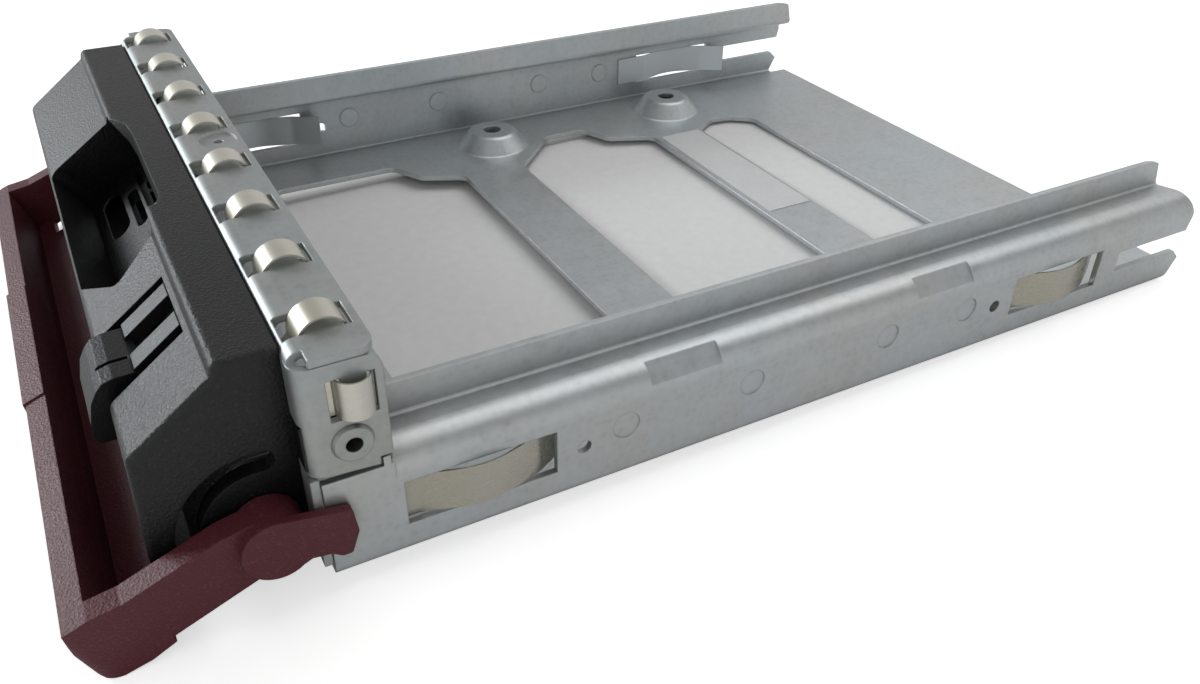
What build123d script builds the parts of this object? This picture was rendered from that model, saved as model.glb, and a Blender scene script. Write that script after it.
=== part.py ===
from build123d import *
from math import cos, radians, sin
import os

# Hot swap drive caddy: a folded sheet tray for one 3.5 inch drive, with a sheet shield, a hollow
# moulded bezel and a U-shaped lever at its front. Millimetres, +Z up. X = 0 is the middle of the
# width, Y = 0 the front face of the shield's plate, Z = 0 the underside of the tray's floor.

# Sheet and tray
SHEET = 1.0                 # zinc-plated sheet of the tray and the shield
DRIVE_HALF = 50.8           # half the width of a 3.5 inch drive
DRIVE_CLEARANCE = 0.5
SHELF_WIDTH = 7.9           # inside of the lip to the outside of the wall
LIP_HALF = DRIVE_HALF + DRIVE_CLEARANCE
TRAY_HALF = LIP_HALF + SHELF_WIDTH
TRAY_REAR = 155.4           # rear edge of the floor
TONGUE_HALF = 50.0          # the floor runs forward under the shield's plate inside this
TIGHT_BEND = 0.9            # centre-line radius of the tight folds
RAIL_BEND = 3.5             # centre-line radius of the round fold from wall to shelf
RAIL_TOP = 15.8             # top of the shelf along the rail
LIP_TOP = 20.4
RAIL_FRONT = 9.8            # where the rail begins
WALL_FRONT = 1.2            # front edge of the walls and the floor
WALL_FRONT_TOP = 14.4       # top of the short wall under the shield's side tab
HOOK = (8.5, 9.4, 15.7)     # small hook on that wall: front, rear and top
HOOK_GAP = 0.3
WALL_REAR = 153.4
WALL_REAR_EDGE = ((152.9, 4.2), (151.2, 5.8), (152.7, 9.5), (153.4, 12.7))
LIP_REAR = 150.8
LIP_CHAMFER = 3.5
SLOT_FRONT = 135.7          # the open guide slot at the rear of each wall
SLOT_BOTTOM = 5.8
SLOT_TOP = 9.5
FLOOR_NOTCH = TRAY_HALF - 2.2   # the floor's rear corners are cut away outside this
FLOOR_NOTCH_FRONT = 150.9

# Windows, marks and pilot holes of the side walls
WINDOW_LENGTH = 20.0
WINDOW_BOTTOM = 4.4
WINDOW_TOP = 11.0
WINDOW_FRONTS = {"front": 10.6, "rear": 111.2}
MARK_RADIUS = 2.0
MARK_DEPTH = 0.2
MARK_Z = 8.3
MARK_YS = (40.7, 60.8, 85.3, 101.1)
PILOT_RADIUS = 1.0
PILOT_Z = 7.1
PILOT_YS = (34.5, 107.4)
FLAT_DEPTH = 0.35           # flats pressed in the rail's round fold
FLAT_LENGTH = 11.0
FLAT_YS = (50.0, 96.0)

# Floor openings, as corners of the right half, and the raised seats of the drive's screws.
# Each corner is its distance in from OPENING_HALF, and its Y
OPENING_ROUND = 2.4
OPENING_HALF = DRIVE_HALF - 5.3
FRONT_OPENING = ((0, 20), (0, 45.2), (6.9, 48.9), (10.6, 57.0))
MIDDLE_OPENING = ((11.5, 69.7), (0, 81), (0, 90), (6.6, 92.9), (10.5, 102.2))
REAR_OPENING = ((11.9, 113.8), (8.1, 119.5), (8.7, 124), (12.1, 128.6))
SCREW_INSET = 3.175         # bottom screws of a 3.5 inch drive, in from its side
SCREW_SPACING_X = 2 * (DRIVE_HALF - SCREW_INSET)
SCREW_SPACING_Y = 44.45
SCREW_FRONT_Y = 68.8
SEAT_TOP = 4.2
SEAT_FOOT_RADIUS = 8.0
SEAT_TOP_RADIUS = 4.6
SCREW_HOLE_RADIUS = 1.85

# Label on the middle strap
LABEL_SIZE = (40.4, 9.8, 0.12)
LABEL_CENTRE = (-13.2, 108.3)

# Front shield
SHIELD_TOP = 31.4
SHIELD_BEND = 1.2           # centre-line radius of the fold to the top flange
CORNER_BEND = 1.5           # centre-line radius of the folds to the side tabs
FLANGE_REAR = 9.3
FLANGE_HALF = TRAY_HALF + 0.3
FLANGE_SIDE_FRONT = 1.9     # behind the relief notch at each front corner
BOTTOM_FLANGE_REAR = 8.6
TAB_REAR = 9.8
TAB_TOP = 30.1
TAB_ROUND = 2.0
TAB_BOTTOM_FRONT = 15.5
TAB_BOTTOM_REAR = 14.8
LEG_BOTTOM = 1.3
LEG_TOP = 15.3
AIR_OPENING_MARGIN = 13.2
AIR_OPENING_HALF = TRAY_HALF - AIR_OPENING_MARGIN
AIR_OPENING_HEIGHT = 19.0
AIR_OPENING_Z = 13.5
AIR_OPENING_ROUND = 3.0
FINGERS = 8
FINGER_MIDDLE = -1.0        # the row of fingers is a little off the middle
FINGER_MARGIN = 6.28
FINGER_PITCH = 2 * (TRAY_HALF - FINGER_MARGIN) / (FINGERS - 1)
FINGER_WINDOW = 5.0         # width of the pocket and the slot of a finger
FINGER_POCKET = (0.7, 3.0)  # where a finger comes up, from front to rear
FINGER_SLOT = (7.3, 8.35)   # where its end goes down again
FINGER_NOTCH_BOTTOM = 28.6
TAB_WINDOW_FRONT = 3.4
TAB_POCKET_REAR = 5.1       # the tab keeps a bridge from here to its slot, under the finger
TAB_SLOT_FRONT = 7.9
TAB_WINDOW_REAR = 8.85
TAB_WINDOW_BOTTOM = 22.5
TAB_WINDOW_TOP = 28.0
EYE_X = -2.1                # oval eye pressed in the flange, with a pilot hole
EYE_Y = 6.0
EYE_LENGTH = 6.4
EYE_WIDTH = 5.2
EYE_DEPTH = 0.3
EYE_HOLE_RADIUS = 0.7

# Spring strips
STRIP = 0.25
FINGER_WIDTH = 4.4
FINGER_TOP = 32.8
ARCH_RADIUS = 3.0           # centre-line radius of a finger's arch
SIDE_ARCH_RADIUS = 2.05
FINGER_CARRIER_BOTTOM = 24.0
FINGER_CARRIER_TOP = 28.2
LEAF = 0.3
LEAF_HEIGHT = 6.0
LEAF_BULGE = 1.5            # how far a rail spring stands out of the wall
LEAF_HOLD = 5.0             # length that lies behind the wall in front of the window
LEAF_BEND = 2.0             # the bow begins and ends this far inside the window
LEAF_TAIL = 3.0
LEAF_ROUNDS = [2, 12, 4]
SIDE_BULGE = 1.35

# Hollow rivets
RIVET_Y = 5.4
RIVET_Z = 19.2
RIVET_HEAD_RADIUS = 2.5
RIVET_RADIUS = 1.5
RIVET_BORE_RADIUS = 1.0
RIVET_HEAD = 0.6
RIVET_CLEARANCE = 0.05

# Bezel
BEZEL_INSET = 4.2
BEZEL_HALF = TRAY_HALF - BEZEL_INSET
BEZEL_WALL = 2.2
BEZEL_EDGE = 0.7
BEZEL_ROUNDS = [1.0, 0.4, 1.6, 1.0, 1.2, 1.0]
BEZEL_TOP = 31.0
BEZEL_BOTTOM = 0.6
STEP_Y = -6.9
SLOPE_TOP = (-7.3, 29.4)    # Y and Z where the slanted face begins
SLOPE_FOOT = (-17.2, 22.0)
FRONT_Y = -17.7
FRONT_FOOT = (-17.7, 3.2)
KEEL_FRONT_Y = -13.5
RECESS_DEPTH = 8.0
RECESS_OUTLINE = ((-21, -1.0), (19.4, -1.0), (23.4, 7.0), (16.5, 12.1), (-22.4, 12.1))
RECESS_ROUND = 1.5
RIM_NOTCH = ((-21.5, -8.0), (-15.5, -5.0), (-10.8, -4.6), (12.1, -4.7), (14.6, -5.5), (14.9, -8.0))
RIM_NOTCH_DEPTH = 6.0
RECESS_HOLES = ((-13.0, 2.2, 14.0, 2.4), (-9.5, 5.0, 12.0, 2.0), (-13.0, 8.9, 14.0, 3.8))
EAR_THICKNESS = 4.8
EAR_INNER = TRAY_HALF - SHEET - EAR_THICKNESS
EAR_HALF_HEIGHT = 3.0
EAR_REAR = 9.0
EAR_CLEARANCE = 0.2

# Lever
PIVOT_Y = -4.9
PIVOT_Z = 8.5
DROOP = 21.5                # how far the arms hang below the level at rest
TRUNNION_RADIUS = 2.5
TRUNNION_REACH = 7.8
TRUNNION_INNER = BEZEL_HALF - TRUNNION_REACH
TRUNNION_CLEARANCE = 0.05
RUN_GAP = 0.3               # between the lever and what it passes
HUB_RADIUS = 4.0
HUB_INNER = BEZEL_HALF + RUN_GAP
ARM_GAP = 1.0
ARM_THICKNESS = 3.2
ARM_INNER = BEZEL_HALF + ARM_GAP
ARM_OUTER = ARM_INNER + ARM_THICKNESS
FOOT_THICKNESS = 1.2
FOOT_INNER = TRAY_HALF + RUN_GAP
FOOT_OUTER = FOOT_INNER + FOOT_THICKNESS
ARM_TOP = 4.75
ARM_BOTTOM = -3.3
ARM_BELLY = ((14.8, -3.3), (16.0, -4.2), (18.2, -4.5), (21.4, -4.1), (22.8, -3.0))
BAR_INNER = 19.5
BAR_OUTER = 23.8
BAR_TOP = 5.5
BAR_FACE = ((22.4, 5.5), (23.8, 0.5), (23.8, -2.0), (23.1, -3.3), (21.4, -4.1), (18.2, -4.5))
LEDGE_INNER = 15.0
LEDGE_TOP = -3.0
LEDGE_BOTTOM = -4.2
LEDGE_CUT = (-56.0, -49.6, 1.6)     # the ledge stands back here: left end, right end and depth
GRIP = (-18.0, 14.0, 0.25)  # raised grip field: left end, right end and height
FAR_TAPER = (-33.0, 1.8)    # the bar's front recedes from here to its far end by this much
BAR_ROUND = 2.0             # corners of the bail in plan
FOOT_ROUND = 0.4
FOOT_OUTLINE = ((3.9, 11.0), (4.3, 7.6), (3.2, 4.6), (2.0, 4.6), (0.8, 5.5), (-1.4, 5.8), (-3.9, 4.7))
STOP_RADIUS = 8.475         # stop peg and arc slot, from the pivot
STOP_SLOT_WIDTH = 2.75
STOP_PEG_RADIUS = 1.05
STOP_PEG_ANGLE = 195.0
STOP_SLOT_START = 83.0
STOP_SLOT_END = 204.0

# Lever springs
COIL_RADIUS = 3.3
COIL_WIRE = 0.7
COIL_GAP = 0.07
COIL_TURNS = 3
COIL_LEG = 4.4

# Release latch, set in the slanted face
LATCH_X = BEZEL_HALF - 18.0     # middle of its two strips
LATCH_SHEET = 1.6
LATCH_HALF = 5.1
LATCH_FAR = LATCH_X - LATCH_HALF
LATCH_NEAR = LATCH_X + LATCH_HALF
LATCH_SLOT = (LATCH_X - 2.0, LATCH_X + 1.9)
LATCH_WINDOW_FAR = LATCH_FAR - 1.5
LATCH_WINDOW_NEAR = LATCH_NEAR + 1.8
LATCH_WINDOW_BOTTOM = 14.6
LATCH_WINDOW_REACH = 3.0    # the window's cut goes this far past the slanted face and the front
LATCH_ROOT = 0.75           # down the slope, like the next one
LATCH_STRIP_END = 8.0
LATCH_ROOT_GAP = 0.1
LATCH_THUMB = ((-12.8, 24.0), (-13.8, 24.2), (-16.1, 24.1), (-17.4, 23.7), (-18.2, 22.8), (-19.0, 21.4))
LATCH_SKIRT = ((-19.6, 18.8), (-19.7, 17.0), (-19.2, 16.0), (-16.2, 15.9), (-16.2, 19.4), (-12.9, 21.9))
LATCH_GROOVE = (LATCH_X + 1.6, 0.6)     # middle and width of the groove across the thumb rest
LATCH_GROOVE_FLOOR = 23.4
LATCH_GROOVE_REAR = -14.0

SIDES = {"near": 1, "far": -1}


def sheet_run(points, radii):
    """Centre line of a folded sheet, traced at the sheet's thickness."""
    with BuildLine() as run:
        FilletPolyline(*points, radius=radii)
    trace(run.edges(), line_width=SHEET)


# Tray: floor, walls, rails and lips folded from one sheet
floor_z = SHEET / 2
wall_x = TRAY_HALF - SHEET / 2
shelf_z = RAIL_TOP - SHEET / 2
lip_x = LIP_HALF + SHEET / 2
bend_x = wall_x - RAIL_BEND
bend_z = shelf_z - RAIL_BEND
flat_reach = RAIL_BEND + SHEET / 2 - FLAT_DEPTH
screw_places = [
    (side * SCREW_SPACING_X / 2, SCREW_FRONT_Y + row * SCREW_SPACING_Y)
    for side in SIDES.values() for row in (0, 1)
]

with BuildPart() as tray:
    with BuildSketch(Plane.XZ.offset(-RAIL_FRONT)):
        sheet_run(
            [(-lip_x, LIP_TOP), (-lip_x, shelf_z), (-wall_x, shelf_z), (-wall_x, floor_z),
             (wall_x, floor_z), (wall_x, shelf_z), (lip_x, shelf_z), (lip_x, LIP_TOP)],
            [TIGHT_BEND, RAIL_BEND, TIGHT_BEND, TIGHT_BEND, RAIL_BEND, TIGHT_BEND],
        )
    extrude(amount=RAIL_FRONT - TRAY_REAR)
    with BuildSketch(Plane.XZ.offset(-WALL_FRONT)):
        sheet_run(
            [(-wall_x, WALL_FRONT_TOP), (-wall_x, floor_z), (wall_x, floor_z), (wall_x, WALL_FRONT_TOP)],
            [TIGHT_BEND, TIGHT_BEND],
        )
    extrude(amount=WALL_FRONT - RAIL_FRONT)
    Box(2 * TONGUE_HALF, 2 * WALL_FRONT, SHEET, align=(Align.CENTER, Align.MIN, Align.MIN))
    hook_front, hook_rear, hook_top = HOOK
    for side in SIDES.values():
        with Locations((side * wall_x, hook_front, WALL_FRONT_TOP - SHEET)):
            Box(
                SHEET, hook_rear - hook_front, hook_top - WALL_FRONT_TOP + SHEET,
                align=(Align.CENTER, Align.MIN, Align.MIN),
            )

    # Rear ends of the walls: a tongue, the open guide slot and an upper tip
    for notch_start in (-TRAY_HALF, FLOOR_NOTCH):
        with BuildSketch(Plane.YZ.offset(notch_start)):
            with BuildLine():
                Polyline(
                    (FLOOR_NOTCH_FRONT, -SHEET), (FLOOR_NOTCH_FRONT, floor_z), *WALL_REAR_EDGE,
                    (WALL_REAR, LIP_TOP), (TRAY_REAR + SHEET, LIP_TOP), (TRAY_REAR + SHEET, -SHEET), close=True,
                )
            make_face()
        extrude(amount=TRAY_HALF - FLOOR_NOTCH, mode=Mode.SUBTRACT)
    with BuildSketch(Plane.YZ.offset(-TRAY_HALF)):
        with Locations((SLOT_FRONT, SLOT_BOTTOM)):
            Rectangle(TRAY_REAR - SLOT_FRONT, SLOT_TOP - SLOT_BOTTOM, align=(Align.MIN, Align.MIN))
    extrude(amount=2 * TRAY_HALF, mode=Mode.SUBTRACT)

    # Rear ends of the shelves, slanted in plan, and of the lips, chamfered
    for side in SIDES.values():
        with BuildSketch(Plane.XY.offset(bend_z)):
            with BuildLine():
                Polyline(
                    (side * (LIP_HALF - SHEET), LIP_REAR), (side * (LIP_HALF + SHEET), LIP_REAR),
                    (side * TRAY_HALF, WALL_REAR), (side * TRAY_HALF, TRAY_REAR + SHEET),
                    (side * (LIP_HALF - SHEET), TRAY_REAR + SHEET), close=True,
                )
            make_face()
        extrude(amount=LIP_TOP, mode=Mode.SUBTRACT)
    with BuildSketch(Plane.YZ.offset(-TRAY_HALF)):
        with BuildLine():
            Polyline(
                (LIP_REAR - LIP_CHAMFER, LIP_TOP), (LIP_REAR - SHEET, LIP_TOP - SHEET / 2),
                (LIP_REAR, RAIL_TOP), (LIP_REAR, LIP_TOP), close=True,
            )
        make_face()
    extrude(amount=2 * TRAY_HALF, mode=Mode.SUBTRACT)

    # Windows and pilot holes through both walls
    with BuildSketch(Plane.YZ.offset(-TRAY_HALF)):
        for window_front in WINDOW_FRONTS.values():
            with Locations((window_front, WINDOW_BOTTOM)):
                Rectangle(WINDOW_LENGTH, WINDOW_TOP - WINDOW_BOTTOM, align=(Align.MIN, Align.MIN))
        with Locations([(y, PILOT_Z) for y in PILOT_YS]):
            Circle(PILOT_RADIUS)
    extrude(amount=2 * TRAY_HALF, mode=Mode.SUBTRACT)

    # Half-sheared round marks, sunk outside and raised inside, and flats in the round fold
    for side in SIDES.values():
        with BuildSketch(Plane.YZ.offset(side * (TRAY_HALF - MARK_DEPTH))):
            with Locations([(y, MARK_Z) for y in MARK_YS]):
                Circle(MARK_RADIUS)
        extrude(amount=side * SHEET, mode=Mode.SUBTRACT)
        with BuildSketch(Plane.YZ.offset(side * (TRAY_HALF - SHEET - MARK_DEPTH))):
            with Locations([(y, MARK_Z) for y in MARK_YS]):
                Circle(MARK_RADIUS)
        extrude(amount=side * SHEET / 2)
        for flat_y in FLAT_YS:
            with BuildSketch(Plane.XZ.offset(-(flat_y - FLAT_LENGTH / 2))):
                reach = flat_reach * sin(radians(45))
                with Locations((side * (bend_x + reach), bend_z + reach)):
                    Rectangle(2 * SHEET, 2 * RAIL_BEND, rotation=90 - side * 45, align=(Align.MIN, Align.CENTER))
            extrude(amount=-FLAT_LENGTH, mode=Mode.SUBTRACT)

    # Openings in the floor
    for corners in (FRONT_OPENING, MIDDLE_OPENING, REAR_OPENING):
        right_half = [(OPENING_HALF - inset, y) for inset, y in corners]
        with BuildSketch():
            with BuildLine():
                FilletPolyline((0, corners[0][1]), *right_half, (0, corners[-1][1]), radius=OPENING_ROUND)
                mirror(about=Plane.YZ)
            make_face()
        extrude(amount=SHEET, mode=Mode.SUBTRACT)

    # Raised seats of the drive's screws
    with Locations([(x, y, 0) for x, y in screw_places]):
        Cylinder(SEAT_FOOT_RADIUS, SHEET, align=(Align.CENTER, Align.CENTER, Align.MIN), mode=Mode.SUBTRACT)
    for x, y in screw_places:
        with BuildSketch(Plane(origin=(x, y, 0), x_dir=(1, 0, 0), z_dir=(0, -1, 0))):
            sheet_run(
                [(SEAT_FOOT_RADIUS + SHEET, floor_z), (SEAT_FOOT_RADIUS - floor_z, floor_z),
                 (SEAT_TOP_RADIUS, SEAT_TOP - floor_z), (SCREW_HOLE_RADIUS, SEAT_TOP - floor_z)],
                [TIGHT_BEND, TIGHT_BEND],
            )
        revolve(axis=Axis((x, y, 0), (0, 0, 1)))

tray.part.label = "tray"


# Blank label on the middle strap
with BuildPart() as blank_label:
    with Locations((*LABEL_CENTRE, SHEET)):
        Box(*LABEL_SIZE, align=(Align.CENTER, Align.CENTER, Align.MIN))

blank_label.part.label = "blank_label"


# Front shield: plate, top flange with finger windows, side tabs and a bottom flange on the floor
corner_x = TRAY_HALF - SHEET / 2
plate_half = TRAY_HALF - SHEET / 2 - CORNER_BEND
tab_openings = ((TAB_WINDOW_FRONT, TAB_POCKET_REAR), (TAB_SLOT_FRONT, TAB_WINDOW_REAR))
finger_xs = [FINGER_MIDDLE + (finger - (FINGERS - 1) / 2) * FINGER_PITCH for finger in range(FINGERS)]

with BuildPart() as front_shield:
    for side in SIDES.values():
        with BuildSketch(Plane.XY.offset(TAB_BOTTOM_REAR)):
            sheet_run(
                [(side * (plate_half - SHEET), SHEET / 2), (side * corner_x, SHEET / 2), (side * corner_x, TAB_REAR)],
                [CORNER_BEND],
            )
        extrude(amount=TAB_TOP - TAB_BOTTOM_REAR)
    tab_corners = front_shield.edges().filter_by(Axis.X).group_by(Axis.Z)[-1].group_by(Axis.Y)[-1]
    fillet(tab_corners, radius=TAB_ROUND)
    with BuildSketch(Plane.YZ.offset(-TRAY_HALF)):
        with BuildLine():
            Polyline(
                (0, TAB_BOTTOM_REAR), (0, TAB_BOTTOM_FRONT), (TAB_REAR, TAB_BOTTOM_REAR), close=True,
            )
        make_face()
        for window_start, window_end in tab_openings:
            with Locations((window_start, TAB_WINDOW_BOTTOM)):
                Rectangle(
                    window_end - window_start, TAB_WINDOW_TOP - TAB_WINDOW_BOTTOM, align=(Align.MIN, Align.MIN),
                )
        with Locations((hook_front - HOOK_GAP, TAB_BOTTOM_REAR - SHEET)):
            Rectangle(
                TAB_REAR - hook_front + HOOK_GAP, hook_top + HOOK_GAP - TAB_BOTTOM_REAR + SHEET,
                align=(Align.MIN, Align.MIN),
            )
        with Locations((RIVET_Y, RIVET_Z)):
            Circle(RIVET_RADIUS + RIVET_CLEARANCE)
    extrude(amount=2 * TRAY_HALF, mode=Mode.SUBTRACT)

    # Plate with both flanges, and the plate's legs in front of the tray's walls
    with BuildSketch(Plane.YZ.offset(-plate_half)):
        sheet_run(
            [(BOTTOM_FLANGE_REAR, SHEET * 1.5), (SHEET / 2, SHEET * 1.5),
             (SHEET / 2, SHIELD_TOP - SHEET / 2), (FLANGE_REAR, SHIELD_TOP - SHEET / 2)],
            [TIGHT_BEND, SHIELD_BEND],
        )
    extrude(amount=2 * plate_half)
    with Locations((0, SHEET / 2, LEG_TOP)):
        Box(2 * TRAY_HALF, SHEET, LEG_TOP - LEG_BOTTOM - SHEET, align=(Align.CENTER, Align.CENTER, Align.MAX))
    with BuildSketch(Plane.XY.offset(SHIELD_TOP - SHEET)):
        with Locations((0, FLANGE_SIDE_FRONT)):
            Rectangle(2 * FLANGE_HALF, FLANGE_REAR - FLANGE_SIDE_FRONT, align=(Align.CENTER, Align.MIN))
    extrude(amount=SHEET)
    flange_corners = front_shield.edges().filter_by(Axis.Z).filter_by_position(
        Axis.Y, FLANGE_REAR - 0.01, FLANGE_REAR + 0.01)
    fillet(flange_corners, radius=TAB_ROUND)

    # A pocket and a slot for each finger, and the oval eye between the middle two
    with BuildSketch(Plane.XY.offset(FINGER_NOTCH_BOTTOM)):
        for opening_front, opening_rear in (FINGER_POCKET, FINGER_SLOT):
            with Locations([(x, opening_front) for x in finger_xs]):
                Rectangle(FINGER_WINDOW, opening_rear - opening_front, align=(Align.CENTER, Align.MIN))
    extrude(amount=SHIELD_TOP, mode=Mode.SUBTRACT)
    with BuildSketch(Plane.XY.offset(SHIELD_TOP - EYE_DEPTH)):
        with Locations((EYE_X, EYE_Y)):
            Ellipse(EYE_LENGTH / 2, EYE_WIDTH / 2)
    extrude(amount=SHEET, mode=Mode.SUBTRACT)
    with BuildSketch(Plane.XY.offset(SHIELD_TOP - SHEET)):
        with Locations((EYE_X, EYE_Y)):
            Circle(EYE_HOLE_RADIUS)
    extrude(amount=SHEET, mode=Mode.SUBTRACT)

    # Air opening of the plate and the slots that the bezel's ears pass through
    with BuildSketch(Plane.XZ):
        with Locations((0, AIR_OPENING_Z)):
            RectangleRounded(2 * AIR_OPENING_HALF, AIR_OPENING_HEIGHT, radius=AIR_OPENING_ROUND)
    extrude(amount=-2 * SHEET, mode=Mode.SUBTRACT)
    for side in SIDES.values():
        with BuildSketch(Plane.XZ):
            with Locations((side * (EAR_INNER + TRAY_HALF - SHEET) / 2, RIVET_Z)):
                Rectangle(TRAY_HALF - SHEET - EAR_INNER, 2 * (EAR_HALF_HEIGHT + EAR_CLEARANCE))
        extrude(amount=-3 * SHEET, mode=Mode.SUBTRACT)

front_shield.part.label = "front_shield"


# Spring strip with eight fingers that arch up through the flange's windows
strip_y = SHEET + STRIP / 2
arch_y = (FINGER_POCKET[1] + FINGER_SLOT[0]) / 2
arch_foot = FINGER_TOP - STRIP / 2 - ARCH_RADIUS
carrier_half = finger_xs[-1] - FINGER_MIDDLE + FINGER_WIDTH / 2 + SHEET

with BuildPart() as top_spring_strip:
    with Locations((FINGER_MIDDLE, strip_y, FINGER_CARRIER_BOTTOM)):
        Box(
            2 * carrier_half, STRIP, FINGER_CARRIER_TOP - FINGER_CARRIER_BOTTOM,
            align=(Align.CENTER, Align.CENTER, Align.MIN),
        )
    for finger_x in finger_xs:
        with BuildSketch(Plane.YZ.offset(finger_x - FINGER_WIDTH / 2)):
            with BuildLine():
                Polyline(
                    (strip_y, FINGER_CARRIER_BOTTOM), (strip_y, FINGER_CARRIER_TOP),
                    (arch_y - ARCH_RADIUS, arch_foot - 2 * STRIP), (arch_y - ARCH_RADIUS, arch_foot),
                )
                RadiusArc(
                    (arch_y - ARCH_RADIUS, arch_foot), (arch_y + ARCH_RADIUS, arch_foot), ARCH_RADIUS,
                )
            trace(line_width=STRIP)
        extrude(amount=FINGER_WIDTH)

top_spring_strip.part.label = "top_spring_strip"


def side_spring(side):
    """Strip behind a side tab, with one finger that bulges out through the tab's window."""
    inner_x = side * (TRAY_HALF - SHEET - STRIP / 2)
    outer_x = side * (TRAY_HALF + SIDE_BULGE - STRIP / 2)
    foot_x = outer_x - side * SIDE_ARCH_RADIUS
    middle_y = (TAB_POCKET_REAR + TAB_SLOT_FRONT) / 2
    with BuildPart() as spring:
        with BuildSketch(Plane.XY.offset(TAB_WINDOW_BOTTOM + STRIP)):
            with BuildLine():
                Polyline(
                    (inner_x, SHEET / 2 + CORNER_BEND), (inner_x, middle_y - SIDE_ARCH_RADIUS - STRIP),
                    (foot_x, middle_y - SIDE_ARCH_RADIUS),
                )
                ThreePointArc(
                    (foot_x, middle_y - SIDE_ARCH_RADIUS), (outer_x, middle_y), (foot_x, middle_y + SIDE_ARCH_RADIUS),
                )
            trace(line_width=STRIP)
        extrude(amount=TAB_WINDOW_TOP - TAB_WINDOW_BOTTOM - 2 * STRIP)
    return spring


def leaf_spring(side, window_front):
    """Rail spring: its front end lies behind the wall, its middle bows out, its tail curls in."""
    inner_x = side * (TRAY_HALF - SHEET - LEAF / 2)
    outer_x = side * (TRAY_HALF + LEAF_BULGE - LEAF / 2)
    tail_x = side * (TRAY_HALF - 4 * SHEET)
    window_rear = window_front + WINDOW_LENGTH
    leaf_bottom = (WINDOW_BOTTOM + WINDOW_TOP - LEAF_HEIGHT) / 2
    with BuildPart() as spring:
        with BuildSketch(Plane.XY.offset(leaf_bottom)):
            with BuildLine():
                FilletPolyline(
                    (inner_x, window_front - LEAF_HOLD), (inner_x, window_front + LEAF_BEND),
                    (outer_x, window_front + WINDOW_LENGTH / 2), (inner_x, window_rear - LEAF_BEND),
                    (tail_x, window_rear + LEAF_TAIL), radius=LEAF_ROUNDS,
                )
            trace(line_width=LEAF)
        extrude(amount=LEAF_HEIGHT)
    return spring


def hollow_rivet(side):
    """Hollow rivet through a side tab and the bezel's ear, rolled over on the inside."""
    head_x = TRAY_HALF + RIVET_HEAD
    tail_x = EAR_INNER
    with BuildPart() as rivet:
        with BuildSketch(Plane.XY.offset(RIVET_Z)):
            with BuildLine():
                Polyline(
                    (side * head_x, RIVET_Y + RIVET_BORE_RADIUS),
                    (side * head_x, RIVET_Y + RIVET_HEAD_RADIUS - RIVET_HEAD / 2),
                    (side * TRAY_HALF, RIVET_Y + RIVET_HEAD_RADIUS),
                    (side * TRAY_HALF, RIVET_Y + RIVET_RADIUS),
                    (side * tail_x, RIVET_Y + RIVET_RADIUS),
                    (side * tail_x, RIVET_Y + RIVET_HEAD_RADIUS - RIVET_HEAD),
                    (side * (tail_x - RIVET_HEAD), RIVET_Y + RIVET_RADIUS),
                    (side * (tail_x - RIVET_HEAD), RIVET_Y + RIVET_BORE_RADIUS),
                    close=True,
                )
            make_face()
        revolve(axis=Axis((0, RIVET_Y, RIVET_Z), (1, 0, 0)))
    return rivet


# Bezel: outer form, cavity, central recess, latch window, arc slots and ears
slope_run = SLOPE_TOP[0] - SLOPE_FOOT[0]
slope_drop = SLOPE_TOP[1] - SLOPE_FOOT[1]
slope_length = (slope_run ** 2 + slope_drop ** 2) ** 0.5
slope_plane = Plane(
    origin=(0, *SLOPE_TOP), x_dir=(1, 0, 0),
    z_dir=(0, -slope_drop / slope_length, slope_run / slope_length),
)


def down_slope(x, distance):
    """Point on the slanted face, by its X and its distance down the slope."""
    return (x, -distance)


bezel_outline = (
    (0, BEZEL_TOP), (STEP_Y, BEZEL_TOP), SLOPE_TOP, SLOPE_FOOT, (FRONT_Y, PIVOT_Z), FRONT_FOOT,
    (KEEL_FRONT_Y, BEZEL_BOTTOM), (0, BEZEL_BOTTOM),
)
recess_outline = [down_slope(*corner) for corner in RECESS_OUTLINE]

with BuildPart() as bezel_cavity:
    with BuildSketch(Plane.YZ.offset(BEZEL_WALL - BEZEL_HALF)):
        with BuildLine():
            Polyline(*bezel_outline, close=True)
        make_face()
        offset(amount=-BEZEL_WALL)
        with Locations((0, BEZEL_BOTTOM + BEZEL_WALL)):
            Rectangle(
                2 * BEZEL_WALL, BEZEL_TOP - BEZEL_BOTTOM - 2 * BEZEL_WALL, align=(Align.CENTER, Align.MIN),
            )
    extrude(amount=2 * (BEZEL_HALF - BEZEL_WALL))
    with BuildSketch(slope_plane):
        with BuildLine():
            Polyline(*recess_outline, close=True)
        make_face()
        offset(amount=BEZEL_WALL)
    extrude(amount=-RECESS_DEPTH - BEZEL_WALL, mode=Mode.SUBTRACT)
    with BuildSketch(Plane.XY.offset(BEZEL_TOP)):
        with BuildLine():
            Polyline(*RIM_NOTCH, close=True)
        make_face()
        offset(amount=BEZEL_WALL)
    extrude(amount=-RIM_NOTCH_DEPTH - BEZEL_WALL, mode=Mode.SUBTRACT)

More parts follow.
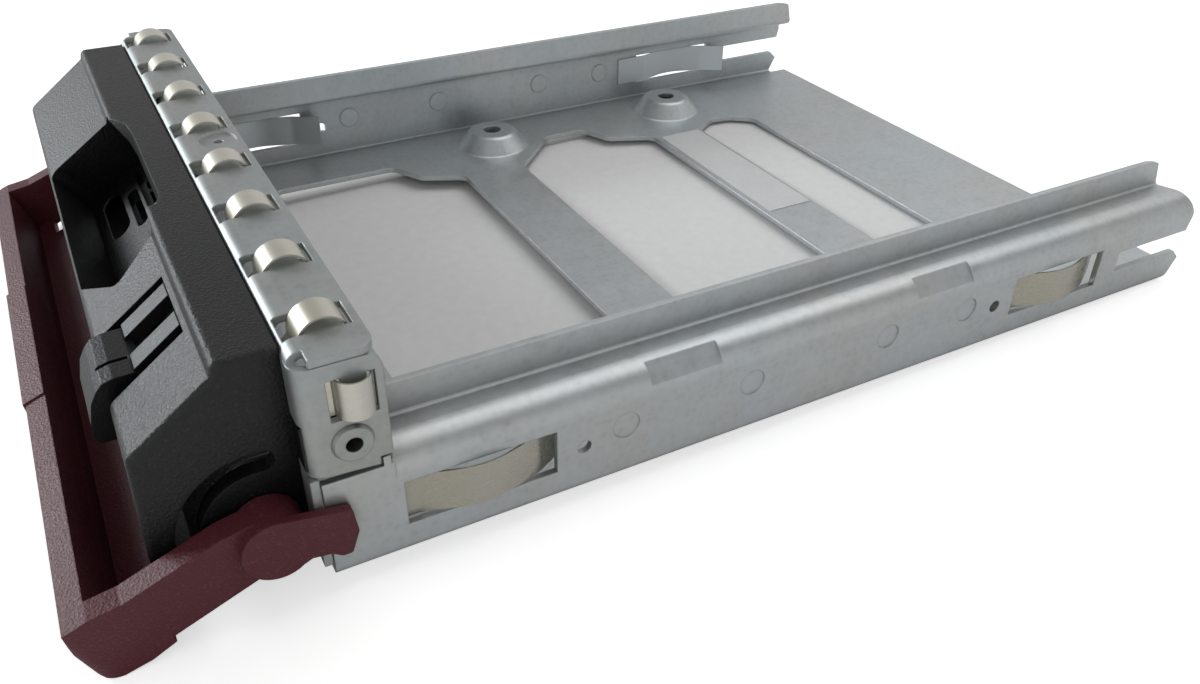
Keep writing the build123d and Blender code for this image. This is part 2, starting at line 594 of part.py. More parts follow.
with BuildPart() as bezel:
    with BuildSketch(Plane.YZ.offset(-BEZEL_HALF)):
        with BuildLine():
            FilletPolyline(*bezel_outline, radius=BEZEL_ROUNDS)
            Line((0, BEZEL_BOTTOM), (0, BEZEL_TOP))
        make_face()
    extrude(amount=2 * BEZEL_HALF)
    end_faces = bezel.faces().filter_by(Axis.X)
    fillet(end_faces.edges().filter_by(lambda edge: edge.center().Y < -0.01), radius=BEZEL_EDGE)
    add(bezel_cavity.part, mode=Mode.SUBTRACT)

    # Central recess behind the slanted face, its notch in the upper rim and the openings of its floor
    with BuildSketch(slope_plane.offset(BEZEL_WALL)):
        with BuildLine():
            Polyline(*recess_outline, close=True)
        make_face()
        fillet(vertices().sort_by(Axis.Y)[:3], radius=RECESS_ROUND)
    extrude(amount=-RECESS_DEPTH - BEZEL_WALL, mode=Mode.SUBTRACT)
    with BuildSketch(Plane.XY.offset(BEZEL_TOP)):
        with BuildLine():
            Polyline(*RIM_NOTCH, close=True)
        make_face()
    extrude(amount=-RIM_NOTCH_DEPTH, mode=Mode.SUBTRACT)
    with BuildSketch(slope_plane.offset(-RECESS_DEPTH + SHEET)):
        for hole_x, hole_down, hole_length, hole_height in RECESS_HOLES:
            with Locations(down_slope(hole_x, hole_down)):
                SlotOverall(hole_length, hole_height)
    extrude(amount=-2 * BEZEL_WALL, mode=Mode.SUBTRACT)

    # Window of the release latch, down the slanted face and the upper front
    window_width = LATCH_WINDOW_NEAR - LATCH_WINDOW_FAR
    with BuildSketch(slope_plane.offset(LATCH_WINDOW_REACH)):
        with Locations(down_slope(LATCH_WINDOW_FAR, LATCH_ROOT)):
            Rectangle(
                window_width, slope_length + LATCH_WINDOW_REACH - LATCH_ROOT, align=(Align.MIN, Align.MAX),
            )
    extrude(amount=-LATCH_WINDOW_REACH - 1.5 * BEZEL_WALL, mode=Mode.SUBTRACT)
    with BuildSketch(Plane.XZ.offset(LATCH_WINDOW_REACH - FRONT_Y)):
        with Locations((LATCH_WINDOW_FAR, LATCH_WINDOW_BOTTOM)):
            Rectangle(window_width, SLOPE_FOOT[1] - LATCH_WINDOW_BOTTOM, align=(Align.MIN, Align.MIN))
    extrude(amount=-LATCH_WINDOW_REACH - 2 * BEZEL_WALL, mode=Mode.SUBTRACT)

    # Trunnion bores and the arc slots of the stop pegs, through both side walls
    with BuildSketch(Plane.YZ.offset(-BEZEL_HALF)):
        with Locations((PIVOT_Y, PIVOT_Z)):
            Circle(TRUNNION_RADIUS + TRUNNION_CLEARANCE)
        with BuildLine() as stop_path:
            CenterArc((PIVOT_Y, PIVOT_Z), STOP_RADIUS, STOP_SLOT_START, STOP_SLOT_END - STOP_SLOT_START)
        SlotArc(stop_path.edge(), STOP_SLOT_WIDTH)
    extrude(amount=2 * BEZEL_HALF, mode=Mode.SUBTRACT)

    # Ears that pass through the shield and take the rivets
    for side in SIDES.values():
        ear_outer = TRAY_HALF - SHEET
        with Locations((side * (EAR_INNER + ear_outer) / 2, 0, RIVET_Z)):
            Box(
                ear_outer - EAR_INNER, EAR_REAR, 2 * EAR_HALF_HEIGHT,
                align=(Align.CENTER, Align.MIN, Align.CENTER),
            )
        ear_root = BEZEL_HALF - BEZEL_WALL
        with Locations((side * (ear_root + EAR_INNER) / 2, 0, RIVET_Z)):
            Box(
                EAR_INNER - ear_root + BEZEL_WALL, BEZEL_WALL, 2 * EAR_HALF_HEIGHT,
                align=(Align.CENTER, Align.MAX, Align.CENTER),
            )
    with BuildSketch(Plane.YZ.offset(-TRAY_HALF)):
        with Locations((RIVET_Y, RIVET_Z)):
            Circle(RIVET_RADIUS + RIVET_CLEARANCE)
    extrude(amount=2 * TRAY_HALF, mode=Mode.SUBTRACT)

bezel.part.label = "bezel"


# Release latch: two strips from a hinge line to a thumb rest that rolls over into a skirt
latch_root = LATCH_ROOT + LATCH_ROOT_GAP

with BuildPart() as release_latch:
    with BuildSketch(Plane.YZ.offset(LATCH_FAR)):
        with BuildLine():
            Polyline(*LATCH_THUMB, *LATCH_SKIRT, close=True)
        make_face()
    extrude(amount=2 * LATCH_HALF)
    groove_middle, groove_width = LATCH_GROOVE
    with Locations((groove_middle, LATCH_GROOVE_REAR, LATCH_GROOVE_FLOOR)):
        Box(
            groove_width, slope_length, LATCH_SHEET, align=(Align.CENTER, Align.MAX, Align.MIN),
            mode=Mode.SUBTRACT,
        )
    for strip_start, strip_end in ((LATCH_FAR, LATCH_SLOT[0]), (LATCH_SLOT[1], LATCH_NEAR)):
        with BuildSketch(slope_plane):
            with Locations(down_slope((strip_start + strip_end) / 2, latch_root)):
                Rectangle(strip_end - strip_start, LATCH_STRIP_END - latch_root, align=(Align.CENTER, Align.MAX))
        extrude(amount=-LATCH_SHEET)

release_latch.part.label = "release_latch"


# Lever: one U-shaped moulding of bar, arms, hubs, feet, stop pegs and trunnions
lever_plane = Plane(
    origin=(0, PIVOT_Y, PIVOT_Z), x_dir=(0, -cos(radians(DROOP)), -sin(radians(DROOP))), z_dir=(-1, 0, 0),
)
lever_top_plane = Plane(
    origin=(0, PIVOT_Y, PIVOT_Z), x_dir=(1, 0, 0), z_dir=(0, -sin(radians(DROOP)), cos(radians(DROOP))),
)

with BuildPart() as lever:
    # Bar: front wall with a ledge along its foot
    with BuildSketch(lever_plane.offset(-ARM_OUTER)):
        with BuildLine():
            Polyline(
                (BAR_INNER, BAR_TOP), *BAR_FACE, (LEDGE_INNER, LEDGE_BOTTOM), (LEDGE_INNER, LEDGE_TOP),
                (BAR_INNER, LEDGE_TOP), close=True,
            )
        make_face()
    extrude(amount=2 * ARM_OUTER)

    # Arms and hubs
    for side in SIDES.values():
        arm_start = -ARM_OUTER if side > 0 else ARM_INNER
        with BuildSketch(lever_plane.offset(arm_start)):
            with BuildLine():
                Polyline(
                    (0, HUB_RADIUS), (HUB_RADIUS, ARM_TOP), (ARM_BELLY[1][0], ARM_TOP), (BAR_INNER, BAR_TOP),
                    BAR_FACE[0], *reversed(ARM_BELLY), (0, ARM_BOTTOM), close=True,
                )
            make_face()
        extrude(amount=ARM_OUTER - ARM_INNER)
        hub_start = -FOOT_OUTER if side > 0 else HUB_INNER
        with BuildSketch(lever_plane.offset(hub_start)):
            Circle(HUB_RADIUS)
        extrude(amount=FOOT_OUTER - HUB_INNER)
        trunnion_start = -HUB_INNER if side > 0 else TRUNNION_INNER
        with BuildSketch(lever_plane.offset(trunnion_start)):
            Circle(TRUNNION_RADIUS)
        extrude(amount=HUB_INNER - TRUNNION_INNER)

        # Cam foot behind the hub, outside the tray's wall
        with BuildSketch(Plane.YZ.offset(side * FOOT_INNER)):
            with BuildLine():
                FilletPolyline((PIVOT_Y, PIVOT_Z + HUB_RADIUS), *FOOT_OUTLINE, radius=FOOT_ROUND)
                Line(FOOT_OUTLINE[-1], (PIVOT_Y, PIVOT_Z + HUB_RADIUS))
            make_face()
        extrude(amount=side * (FOOT_OUTER - FOOT_INNER))

        # Stop peg in the bezel's arc slot
        peg_y = PIVOT_Y + STOP_RADIUS * cos(radians(STOP_PEG_ANGLE))
        peg_z = PIVOT_Z + STOP_RADIUS * sin(radians(STOP_PEG_ANGLE))
        with BuildSketch(Plane.YZ.offset(side * ARM_INNER)):
            with Locations((peg_y, peg_z)):
                Circle(STOP_PEG_RADIUS)
        extrude(amount=-side * (ARM_INNER - BEZEL_HALF + BEZEL_WALL))

    # Outline in plan: rounded corners, and a front that recedes towards the far end
    with BuildSketch(lever_top_plane.offset(-2 * BAR_TOP)):
        with BuildLine():
            FilletPolyline(
                (-ARM_OUTER, -BAR_INNER / 2), (-ARM_OUTER, FAR_TAPER[1] - BAR_OUTER), (FAR_TAPER[0], -BAR_OUTER),
                (ARM_OUTER, -BAR_OUTER), (ARM_OUTER, -BAR_INNER / 2), radius=BAR_ROUND,
            )
            Polyline(
                (ARM_OUTER, -BAR_INNER / 2), (FOOT_OUTER, -BAR_INNER / 2), (FOOT_OUTER, BAR_INNER),
                (-FOOT_OUTER, BAR_INNER), (-FOOT_OUTER, -BAR_INNER / 2), (-ARM_OUTER, -BAR_INNER / 2),
            )
        make_face()
    extrude(amount=4 * BAR_TOP, mode=Mode.INTERSECT)

    # Raised grip field on the bar, and the place where the ledge stands back
    grip_start, grip_end, grip_rise = GRIP
    with BuildSketch(lever_plane.offset(-grip_end)):
        with BuildLine():
            Polyline(
                (BAR_INNER, BAR_TOP + grip_rise), (BAR_FACE[0][0] + grip_rise, BAR_TOP + grip_rise),
                (BAR_FACE[1][0] + grip_rise, BAR_FACE[1][1]), (BAR_FACE[2][0] + grip_rise, BAR_FACE[2][1]),
                BAR_FACE[3], (BAR_INNER, LEDGE_TOP), close=True,
            )
        make_face()
    extrude(amount=grip_end - grip_start)
    cut_start, cut_end, cut_depth = LEDGE_CUT
    with BuildSketch(lever_top_plane.offset(LEDGE_TOP + SHEET)):
        with Locations((cut_start, -LEDGE_INNER)):
            Rectangle(cut_end - cut_start, 2 * cut_depth, align=(Align.MIN, Align.CENTER))
    extrude(amount=-4 * SHEET, mode=Mode.SUBTRACT)

lever.part.label = "lever"


def lever_spring(side):
    """Torsion spring wound round a trunnion inside the bezel."""
    coil_pitch = COIL_WIRE + COIL_GAP
    coil_length = COIL_TURNS * coil_pitch
    coil_start = (side * (TRUNNION_INNER + COIL_WIRE), PIVOT_Y, PIVOT_Z)
    with BuildPart() as spring:
        with BuildLine() as coil:
            Helix(
                pitch=coil_pitch, height=coil_length, radius=COIL_RADIUS,
                center=coil_start, direction=(side, 0, 0),
            )
        with BuildSketch(Plane(origin=coil.line @ 0, z_dir=coil.line % 0)):
            Circle(COIL_WIRE / 2)
        sweep(path=coil.line)
        for leg_place, leg_way in ((0, -1), (1, 1)):
            with BuildSketch(Plane(origin=coil.line @ leg_place, z_dir=coil.line % leg_place * leg_way)):
                Circle(COIL_WIRE / 2)
            extrude(amount=COIL_LEG)
    return spring


os.makedirs("parts", exist_ok=True)
export_step(tray.part, "parts/tray.step")
export_step(blank_label.part, "parts/blank_label.step")
export_step(front_shield.part, "parts/front_shield.step")
export_step(top_spring_strip.part, "parts/top_spring_strip.step")
export_step(bezel.part, "parts/bezel.step")
export_step(release_latch.part, "parts/release_latch.step")
export_step(lever.part, "parts/lever.step")

for side_name, side in SIDES.items():
    side_finger = side_spring(side)
    side_finger.part.label = f"{side_name}_side_spring"
    export_step(side_finger.part, f"parts/{side_name}_side_spring.step")

    rivet = hollow_rivet(side)
    rivet.part.label = f"{side_name}_rivet"
    export_step(rivet.part, f"parts/{side_name}_rivet.step")

    coil_spring = lever_spring(side)
    coil_spring.part.label = f"{side_name}_lever_spring"
    export_step(coil_spring.part, f"parts/{side_name}_lever_spring.step")

    for end_name, window_front in WINDOW_FRONTS.items():
        leaf = leaf_spring(side, window_front)
        leaf.part.label = f"{side_name}_{end_name}_leaf_spring"
        export_step(leaf.part, f"parts/{side_name}_{end_name}_leaf_spring.step")
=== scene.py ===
"""Looks for the hot swap drive caddy: camera, lamps, floor and procedural materials."""

from math import atan2

import bpy
from mathutils import Matrix, Vector

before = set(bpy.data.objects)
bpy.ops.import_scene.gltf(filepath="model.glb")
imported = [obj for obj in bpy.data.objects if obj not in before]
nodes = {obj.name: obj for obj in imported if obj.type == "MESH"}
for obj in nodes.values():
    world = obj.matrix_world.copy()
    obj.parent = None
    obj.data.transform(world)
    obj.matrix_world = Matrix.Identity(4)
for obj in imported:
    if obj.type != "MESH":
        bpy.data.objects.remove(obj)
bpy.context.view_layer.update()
scene = bpy.context.scene
MM = 0.001

# Camera, fitted to the photograph: place in metres, angles in radians, lens and sensor in millimetres
CAMERA_PLACE = (0.149927, -0.014579, 0.093492)
CAMERA_TURN = 1.057358
CAMERA_LEAN = 0.982055
CAMERA_ROLL = 0.017080
LENS = 31.2566
SENSOR_WIDTH = 36
SHIFT = (-0.000687, -0.006995)
CLIP_START = 0.005

# Two lines that the caddy rests on, as Y and Z: the bottom of the lever's bar and the rear edge of
# the tray's floor
REST_FRONT = (-0.0230, -0.0032)
REST_REAR = (0.1554, 0.0)
FLOOR_HALF = 3.0
FLOOR_GAP = 0.02 * MM

# The floor's glow towards the camera rises to FAR_GLOW between two distances. It stops under the
# tray, a painted shade on the floor seen through the tray's openings.
FLOOR_GLOW = 0.60
FAR_GLOW = 1.2
FLOOR_FADE = (0.30, 0.60)
PAINTED_SHADE_MIDDLE = -0.078
PAINTED_SHADE_HALF = (0.046, 0.066)
PAINTED_SHADE_FADE = 0.006

# The world's light: level near the horizon, level overhead, and the heights between which it changes
WORLD_LEVELS = (0.56, 0.22)
WORLD_BAND = (0.40, 0.60)

# Lamps: name, place in metres, size in metres, power in watts, tint
LAMP_AIM = (0.0, 0.06, 0.01)
LAMPS = (
    ("left_box", (-0.72, -0.66, 0.40), (0.50, 0.40), 6.4, (0.92, 0.97, 1.0)),
    ("top_box", (-0.10, 0.55, 1.0), (1.0, 1.0), 3.8, (1, 1, 1)),
    ("camera_fill", (0.75, -0.45, 0.60), (0.7, 0.7), 1.2, (1, 1, 1)),
)

# Patterns, in cells per metre. A roll leaves lines that are long along one axis.
ZINC_MOTTLE = 260
ZINC_SPANGLE = 900
ZINC_BLOTCH = 38
ZINC_SCRATCHES = (60, 2600, 2600)
SCRATCH_TURN = (0, 0, 0.35)
STREAKS_ALONG_X = (60, 2400, 2400)
STREAKS_ALONG_Y = (2400, 60, 2400)
RIVET_STREAKS = 700
STRIP_LINES = (3000, 90, 3000)
WIRE_LINES = (2500, 2500, 400)
STRIP_CLOUDS = 180
PLASTIC_GRAIN = 1 / (0.34 * MM)
PLASTIC_PITS = 0.9 * PLASTIC_GRAIN
PLASTIC_FLOW = 30
LABEL_FIBRE = 1400
LABEL_CLOUDS = 90
FLOOR_FIBRE = 500

# Radius of the worn edges, depth of the relief, and reach of the painted shade that darkens narrow
# places
ZINC_EDGE, ZINC_RELIEF, ZINC_REACH = 0.30 * MM, 0.012 * MM, 7 * MM
STRIP_EDGE, STRIP_RELIEF, STRIP_REACH = 0.06 * MM, 0.002 * MM, 4 * MM
PLASTIC_EDGE, PLASTIC_REACH = 0.25 * MM, 12 * MM
LABEL_RELIEF = 0.008 * MM

# Place times direction, both across the caddy, below which a strip faces the middle
FACES_MIDDLE = -0.01

# Share of open air at which the painted shade is at its darkest and at none
AIR_BAND = (0.15, 0.85)
AIR_SAMPLES = 8

SIDES = ("near", "far")


def same(value):
    """One value three times: a grey, or a scale alike along each axis."""
    return (value, value, value)


def times(tone, factors):
    """A colour times three factors."""
    return tuple(min(1.0, factor * part) for factor, part in zip(factors, tone))


class Nodes:
    """Short calls for building one material's or the world's node tree."""

    def __init__(self, tree):
        self.tree = tree
        tree.nodes.clear()

    def put(self, socket, value):
        """Sets an input: a link where the value is a socket, else a constant."""
        if isinstance(value, bpy.types.NodeSocket):
            self.tree.links.new(value, socket)
        else:
            socket.default_value = value

    def add(self, kind, **sockets):
        """Adds a node and sets its inputs by name."""
        node = self.tree.nodes.new(kind)
        for name, value in sockets.items():
            self.put(node.inputs[name.replace("_", " ")], value)
        return node

    def source(self, kind, output):
        """One output of a node that has no inputs to set."""
        return self.tree.nodes.new(kind).outputs[output]

    def split(self, vector):
        return self.add("ShaderNodeSeparateXYZ", Vector=vector).outputs

    def math(self, operation, first, second=0.5, third=0.5):
        node = self.tree.nodes.new("ShaderNodeMath")
        node.operation = operation
        for socket, value in zip(node.inputs, (first, second, third)):
            self.put(socket, value)
        return node.outputs[0]

    def plus(self, base, pattern, share):
        """A base value plus a share of a pattern."""
        return self.math("MULTIPLY_ADD", pattern, share, base)

    def span(self, value, low, high, to_low=0, to_high=1):
        """Maps a value from one range to another and keeps it inside."""
        node = self.add("ShaderNodeMapRange", Value=value, From_Min=low, From_Max=high,
                        To_Min=to_low, To_Max=to_high)
        return node.outputs[0]

    def place(self, cells, turn=(0, 0, 0)):
        """The object's own coordinates, scaled to so many cells per metre along each axis."""
        here = self.source("ShaderNodeTexCoord", "Object")
        return self.add("ShaderNodeMapping", Vector=here, Scale=cells, Rotation=turn).outputs[0]

    def noise(self, cells, detail, roughness=0.5, distortion=0.0, turn=(0, 0, 0)):
        node = self.add("ShaderNodeTexNoise", Vector=self.place(cells, turn), Scale=1.0,
                        Detail=detail, Roughness=roughness, Distortion=distortion)
        return node.outputs["Fac"]

    def crystals(self, cells):
        """Distance to the middle of the nearest crystal."""
        node = self.add("ShaderNodeTexVoronoi", Vector=self.place(cells), Scale=1.0)
        return node.outputs["Distance"]

    def ramp(self, value, *stops):
        node = self.add("ShaderNodeValToRGB", Fac=value)
        elements = node.color_ramp.elements
        while len(elements) < len(stops):
            elements.new(0.5)
        for element, (position, colour) in zip(elements, stops):
            element.position = position
            element.color = (*colour, 1)
        return node.outputs["Color"]

    def mix(self, share, first, second, blend="MIX"):
        node = self.tree.nodes.new("ShaderNodeMix")
        node.data_type = "RGBA"
        node.blend_type = blend
        self.put(node.inputs[0], share)
        for socket, colour in ((node.inputs[6], first), (node.inputs[7], second)):
            self.put(socket, (*colour, 1) if isinstance(colour, tuple) else colour)
        return node.outputs[2]

    def tinted(self, colour, tint):
        return self.mix(1.0, colour, tint, "MULTIPLY")

    def painted_shade(self, reach, darkest):
        """A painted shade: one in the open, down to a darkest value in narrow places within a reach in
        metres.
        """
        node = self.add("ShaderNodeAmbientOcclusion", Distance=reach)
        node.samples = AIR_SAMPLES
        return self.span(node.outputs["AO"], *AIR_BAND, darkest, 1.0)

    def bump(self, height, distance, strength, edge=None):
        """Relief on top of edges that are rounded by a radius."""
        node = self.add("ShaderNodeBump", Height=height, Distance=distance, Strength=strength)
        if edge is not None:
            self.put(node.inputs["Normal"], self.add("ShaderNodeBevel", Radius=edge).outputs[0])
        return node.outputs["Normal"]


def material(name, tone):
    made = bpy.data.materials.new(name)
    made.use_nodes = True
    made.diffuse_color = (*tone, 1)
    return made, Nodes(made.node_tree)


def close(kit, shader, output="ShaderNodeOutputMaterial"):
    kit.add(output, Surface=shader.outputs[0])


# Materials
def zinc_sheet(name, tone, roughness, streak_cells, darkest):
    """Zinc-plated sheet: a soft crystal mottle, faint rolling streaks and a few fine scratches, with a
    painted shade that darkens narrow places.
    """
    made, kit = material(name, tone)
    mottle = kit.noise(same(ZINC_MOTTLE), detail=4, roughness=0.62)
    spangle = kit.crystals(same(ZINC_SPANGLE))
    streaks = kit.noise(streak_cells, detail=5, roughness=0.7)
    blotch = kit.noise(same(ZINC_BLOTCH), detail=3, roughness=0.55, distortion=0.6)
    scratches = kit.noise(ZINC_SCRATCHES, detail=1, turn=SCRATCH_TURN)
    shade = kit.plus(kit.plus(kit.plus(0.70, mottle, 0.30), spangle, 0.16), streaks, 0.22)
    colour = kit.ramp(kit.span(shade, 0.78, 1.22), (0.0, times(tone, same(0.74))), (0.55, tone),
                      (1.0, times(tone, same(1.10))))
    warmth = kit.ramp(blotch, (0.35, (0.98, 1.0, 1.02)), (0.72, (1.0, 0.975, 0.935)))
    colour = kit.tinted(colour, warmth)
    # Painted shade: the colour darkens in narrow places, by ambient occlusion
    colour = kit.tinted(colour, kit.painted_shade(ZINC_REACH, darkest))
    rough = kit.plus(roughness - 0.10, mottle, 0.20)
    rough = kit.plus(rough, kit.span(scratches, 0.62, 0.72), -0.08)
    height = kit.plus(kit.plus(mottle, spangle, 0.35), streaks, 0.5)
    shader = kit.add("ShaderNodeBsdfPrincipled", Base_Color=colour, Metallic=0.88, Roughness=rough,
                     Normal=kit.bump(height, ZINC_RELIEF, 0.55, ZINC_EDGE))
    close(kit, shader)
    return made


def spring_steel(name, tone, roughness, lines_cells, painted_inward_tone, darkest):
    """Thin rolled strip: bright, with fine lines along the roll; rougher on faces towards the middle,
    which take their own painted tone for the light on that side, and, where darkest is below one, a
    painted shade in narrow places.
    """
    made, kit = material(name, tone)
    lines = kit.noise(lines_cells, detail=4, roughness=0.65)
    clouds = kit.noise(same(STRIP_CLOUDS), detail=3)
    colour = kit.ramp(clouds, (0.3, tone), (0.7, times(tone, (0.97, 0.93, 0.86))))
    colour = kit.mix(kit.span(lines, 0.35, 0.65, 0.0, 0.2), colour, times(tone, same(0.78)))
    here_x = kit.split(kit.source("ShaderNodeTexCoord", "Object"))[0]
    way_x = kit.split(kit.source("ShaderNodeNewGeometry", "Normal"))[0]
    inward = kit.math("LESS_THAN", kit.math("MULTIPLY", here_x, way_x), FACES_MIDDLE)
    # Painted light: faces towards the middle take their own tone, for the light on that side
    colour = kit.mix(inward, colour, painted_inward_tone)
    # Painted shade: the colour darkens in narrow places, by ambient occlusion
    colour = kit.tinted(colour, kit.painted_shade(STRIP_REACH, darkest))
    rough = kit.plus(kit.plus(roughness - 0.05, lines, 0.10), inward, 0.2)
    shader = kit.add("ShaderNodeBsdfPrincipled", Base_Color=colour, Metallic=0.9, Roughness=rough,
                     Normal=kit.bump(lines, STRIP_RELIEF, 0.25, STRIP_EDGE))
    close(kit, shader)
    return made


def grained_plastic(name, tone, glint_tone, roughness, depth, gloss, darkest):
    """Moulded plastic with a spark-eroded grain whose small peaks take a lighter colour, a painted
    glint; the gloss has a painted shade in narrow places.
    """
    made, kit = material(name, tone)
    grain = kit.noise(same(PLASTIC_GRAIN), detail=3, roughness=0.6)
    pits = kit.crystals(same(PLASTIC_PITS))
    flow = kit.noise(same(PLASTIC_FLOW), detail=3, roughness=0.5, distortion=1.2)
    peaks = kit.span(grain, 0.56, 0.72)
    # Painted glint: the grain's peaks take a lighter colour
    colour = kit.mix(kit.math("MULTIPLY", peaks, 0.55), tone, glint_tone)
    colour = kit.tinted(colour, kit.ramp(flow, (0.3, same(0.88)), (0.7, same(1.0))))
    rough = kit.plus(kit.plus(roughness - 0.03, peaks, -0.16), flow, 0.10)
    height = kit.plus(grain, pits, 0.6)
    shader = kit.add("ShaderNodeBsdfPrincipled", Base_Color=colour, Roughness=rough,
                     Normal=kit.bump(height, depth, 1.0, PLASTIC_EDGE))
    # Set as a constant too, since the export drops the link
    level = shader.inputs["Specular IOR Level"]
    kit.put(level, gloss)
    # Painted shade: the gloss drops in narrow places, by ambient occlusion
    gloss_shade = kit.painted_shade(PLASTIC_REACH, darkest)
    kit.put(level, kit.math("MULTIPLY", kit.math("MULTIPLY", gloss_shade, gloss_shade), gloss))
    close(kit, shader)
    return made


def label_film():
    """Blank white label: smooth film over faintly uneven paper."""
    made, kit = material("label_film", (0.80, 0.81, 0.80))
    fibre = kit.noise(same(LABEL_FIBRE), detail=4, roughness=0.6)
    cloud = kit.noise(same(LABEL_CLOUDS), detail=2)
    shade = kit.plus(kit.math("MULTIPLY", cloud, 0.5), fibre, 0.5)
    colour = kit.ramp(shade, (0.3, (0.66, 0.67, 0.67)), (0.7, (0.76, 0.77, 0.77)))
    rough = kit.span(cloud, 0.3, 0.7, 0.30, 0.42)
    shader = kit.add("ShaderNodeBsdfPrincipled", Base_Color=colour, Roughness=rough,
                     Normal=kit.bump(fibre, LABEL_RELIEF, 0.4))
    close(kit, shader)
    return made


def floor_paper():
    """Pale paper that keeps shadows and glows white to the camera, except under the tray, where the glow
    stops as a painted shade.
    """
    made, kit = material("floor_paper", same(0.9))
    fibre = kit.noise(same(FLOOR_FIBRE), detail=3)
    colour = kit.ramp(fibre, (0.3, (0.84, 0.84, 0.835)), (0.7, (0.88, 0.88, 0.875)))
    paper = kit.add("ShaderNodeBsdfDiffuse", Color=colour)
    seen = kit.source("ShaderNodeLightPath", "Is Camera Ray")
    here = kit.source("ShaderNodeTexCoord", "Object")
    parts = kit.split(here)
    across = kit.math("ABSOLUTE", parts[0])
    along = kit.math("ABSOLUTE", kit.math("SUBTRACT", parts[1], PAINTED_SHADE_MIDDLE))
    # Painted shade: the glow stops within the tray's footprint
    outside = kit.math("MAXIMUM", kit.span(across, PAINTED_SHADE_HALF[0], PAINTED_SHADE_HALF[0] + PAINTED_SHADE_FADE),
                       kit.span(along, PAINTED_SHADE_HALF[1], PAINTED_SHADE_HALF[1] + PAINTED_SHADE_FADE))
    distance = kit.add("ShaderNodeVectorMath", Vector=here)
    distance.operation = "LENGTH"
    level = kit.span(distance.outputs["Value"], *FLOOR_FADE, FLOOR_GLOW, FAR_GLOW)
    strength = kit.math("MULTIPLY", kit.math("MULTIPLY", seen, outside), level)
    glow = kit.add("ShaderNodeEmission", Color=(1, 1, 1, 1), Strength=strength)
    total = kit.tree.nodes.new("ShaderNodeAddShader")
    kit.put(total.inputs[0], paper.outputs[0])
    kit.put(total.inputs[1], glow.outputs[0])
    close(kit, total)
    return made


def give(shown, *names):
    for name in names:
        for slot in nodes[name].material_slots:
            slot.material = shown


def on_both(*names):
    return [f"{side}_{name}" for side in SIDES for name in names]


give(zinc_sheet("zinc_tray", tone=(0.60, 0.628, 0.64), roughness=0.42,
                streak_cells=STREAKS_ALONG_Y, darkest=0.60), "tray")
give(zinc_sheet("zinc_shield", tone=(0.475, 0.495, 0.49), roughness=0.48,
                streak_cells=STREAKS_ALONG_X, darkest=1.0), "front_shield")
give(zinc_sheet("zinc_rivet", tone=(0.44, 0.47, 0.46), roughness=0.40,
                streak_cells=same(RIVET_STREAKS), darkest=0.3), *on_both("rivet"))
give(spring_steel("spring_strip", tone=(0.78, 0.76, 0.69), roughness=0.34, lines_cells=STRIP_LINES,
                  painted_inward_tone=(0.72, 0.71, 0.66), darkest=1.0),
     "top_spring_strip", *on_both("side_spring"))
# The leaf's inward faces take the bluish grey of the wall beside them, a painted reflection
give(spring_steel("spring_leaf", tone=(0.58, 0.565, 0.50), roughness=0.28, lines_cells=STRIP_LINES,
                  painted_inward_tone=(0.72, 0.76, 0.78), darkest=0.6),
     *on_both("front_leaf_spring", "rear_leaf_spring"))
give(spring_steel("spring_wire", tone=(0.45, 0.45, 0.46), roughness=0.35, lines_cells=WIRE_LINES,
                  painted_inward_tone=(0.42, 0.42, 0.43), darkest=0.6), *on_both("lever_spring"))
give(grained_plastic("black_plastic", tone=(0.0060, 0.0061, 0.0068), glint_tone=(0.034, 0.037, 0.040),
                     roughness=0.40, depth=0.080 * MM, gloss=0.46, darkest=0.0), "bezel")
give(grained_plastic("black_latch", tone=(0.0065, 0.0065, 0.007), glint_tone=(0.026, 0.027, 0.028),
                     roughness=0.38, depth=0.040 * MM, gloss=0.36, darkest=0.0), "release_latch")
give(grained_plastic("maroon_plastic", tone=(0.105, 0.022, 0.030), glint_tone=(0.20, 0.07, 0.085),
                     roughness=0.44, depth=0.070 * MM, gloss=0.32, darkest=0.7), "lever")
give(label_film(), "blank_label")


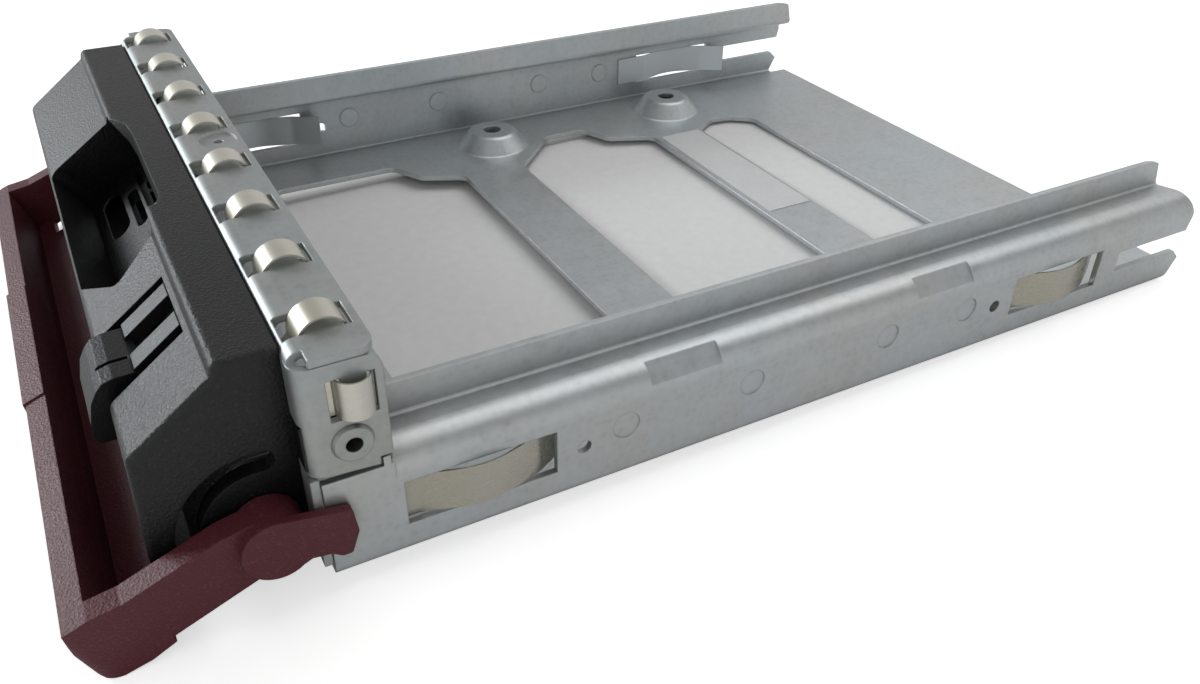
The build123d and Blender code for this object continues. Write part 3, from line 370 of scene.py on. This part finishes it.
# Floor, world, lamps and camera
def add_floor():
    """A floor through the two lines that the caddy rests on."""
    corners = [(x * FLOOR_HALF, y * FLOOR_HALF, 0) for x, y in ((-1, -1), (1, -1), (1, 1), (-1, 1))]
    mesh = bpy.data.meshes.new("floor")
    mesh.from_pydata(corners, [], [(0, 1, 2, 3)])
    mesh.materials.append(floor_paper())
    floor = bpy.data.objects.new("floor", mesh)
    scene.collection.objects.link(floor)
    floor.location = (0, REST_REAR[0], REST_REAR[1] - FLOOR_GAP)
    floor.rotation_euler = (atan2(REST_REAR[1] - REST_FRONT[1], REST_REAR[0] - REST_FRONT[0]), 0, 0)


def add_world():
    """Soft light, brighter near the horizon, and white to the camera and through glass."""
    world = bpy.data.worlds.new("studio")
    scene.world = world
    world.use_nodes = True
    kit = Nodes(world.node_tree)
    path = kit.tree.nodes.new("ShaderNodeLightPath").outputs
    direct = kit.math("MAXIMUM", path["Is Camera Ray"], path["Is Transmission Ray"])
    height = kit.split(kit.source("ShaderNodeTexCoord", "Generated"))[2]
    strength = kit.mix(direct, kit.span(height, *WORLD_BAND, *WORLD_LEVELS), same(1))
    back = kit.add("ShaderNodeBackground", Color=(1, 1, 1, 1), Strength=strength)
    close(kit, back, "ShaderNodeOutputWorld")


def add_lamp(name, place, size, power, tint):
    lamp = bpy.data.lights.new(name, "AREA")
    lamp.shape = "RECTANGLE"
    lamp.size, lamp.size_y = size
    lamp.energy = power
    lamp.color = tint
    holder = bpy.data.objects.new(name, lamp)
    scene.collection.objects.link(holder)
    holder.location = place
    holder.rotation_euler = (Vector(LAMP_AIM) - Vector(place)).to_track_quat("-Z", "Y").to_euler()


def add_camera():
    lens = bpy.data.cameras.new("camera")
    lens.sensor_fit = "HORIZONTAL"
    lens.sensor_width = SENSOR_WIDTH
    lens.lens = LENS
    lens.shift_x, lens.shift_y = SHIFT
    lens.clip_start = CLIP_START
    camera = bpy.data.objects.new("camera", lens)
    scene.collection.objects.link(camera)
    camera.matrix_world = (Matrix.Translation(CAMERA_PLACE) @ Matrix.Rotation(CAMERA_TURN, 4, "Z")
                           @ Matrix.Rotation(CAMERA_LEAN, 4, "X") @ Matrix.Rotation(CAMERA_ROLL, 4, "Z"))
    scene.camera = camera


add_floor()
add_world()
for lamp_values in LAMPS:
    add_lamp(*lamp_values)
add_camera()
scene.view_settings.view_transform = "Standard"
